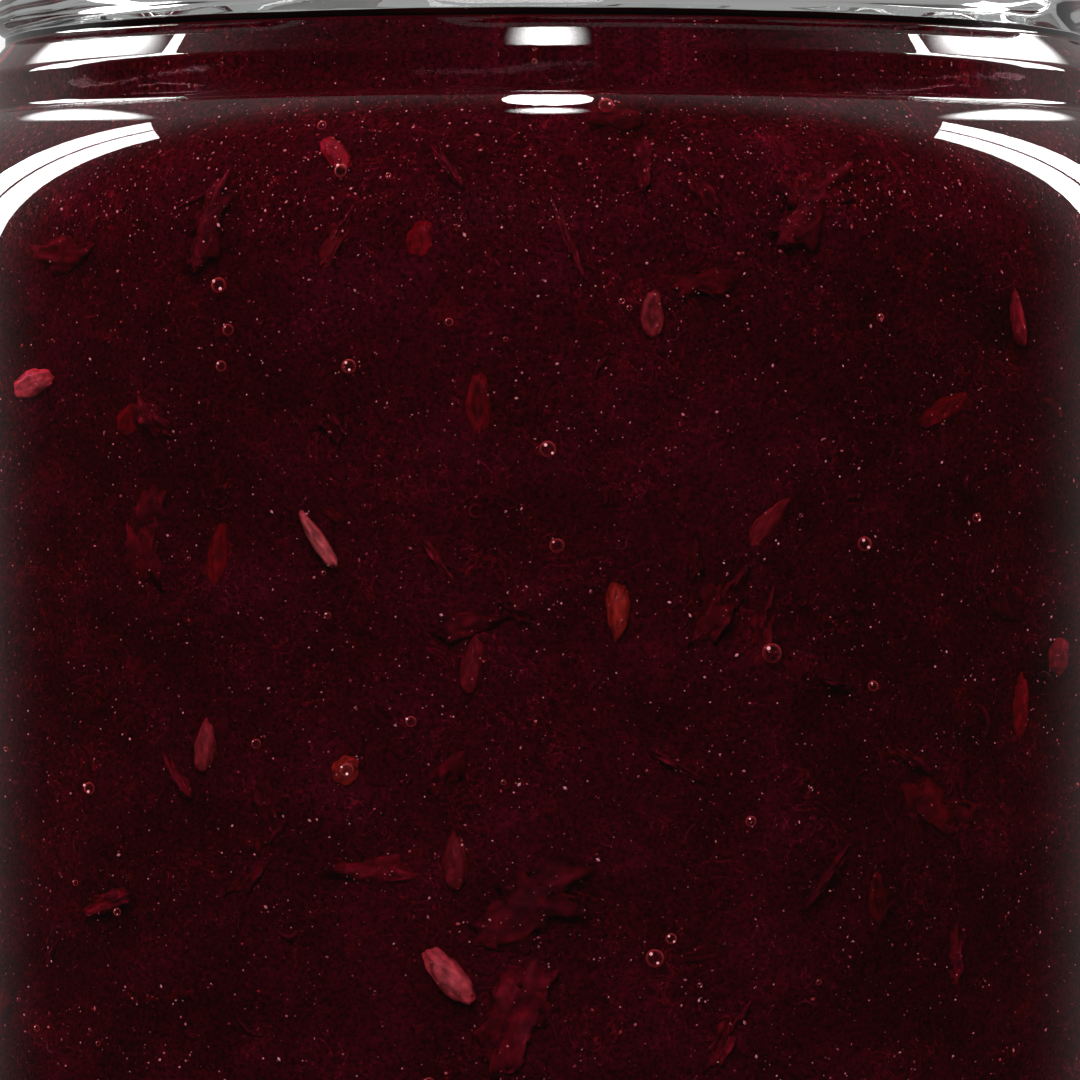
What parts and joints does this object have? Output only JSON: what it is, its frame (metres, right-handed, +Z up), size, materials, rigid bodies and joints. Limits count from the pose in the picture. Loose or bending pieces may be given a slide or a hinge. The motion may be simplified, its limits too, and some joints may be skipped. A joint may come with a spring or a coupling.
{
  "type": "jam jar",
  "caption": "Open clear glass jar with a rounded shoulder and a lug-thread neck, filled with dark red seedy fruit jam up to just under the thread.",
  "frame": {"origin": "centre of the foot, on the surface that the jar stands on", "axes": "+Z up along the jar's axis, -Y towards the viewer"},
  "size_m": [0.075, 0.075, 0.113],
  "materials": {
    "glass": "clear, smooth, slightly wavy inside",
    "jam": "glossy, dark, clear jelly with pulp",
    "seed": "wet, faintly ridged",
    "pulp": "wet, soft, fibrous",
    "bubble": "clear, bright at its rim",
    "speck": "fine pale specks"
  },
  "bodies": {
    "root": {"jar": "glass", "jam": "jam"}
  },
  "joints": []
}
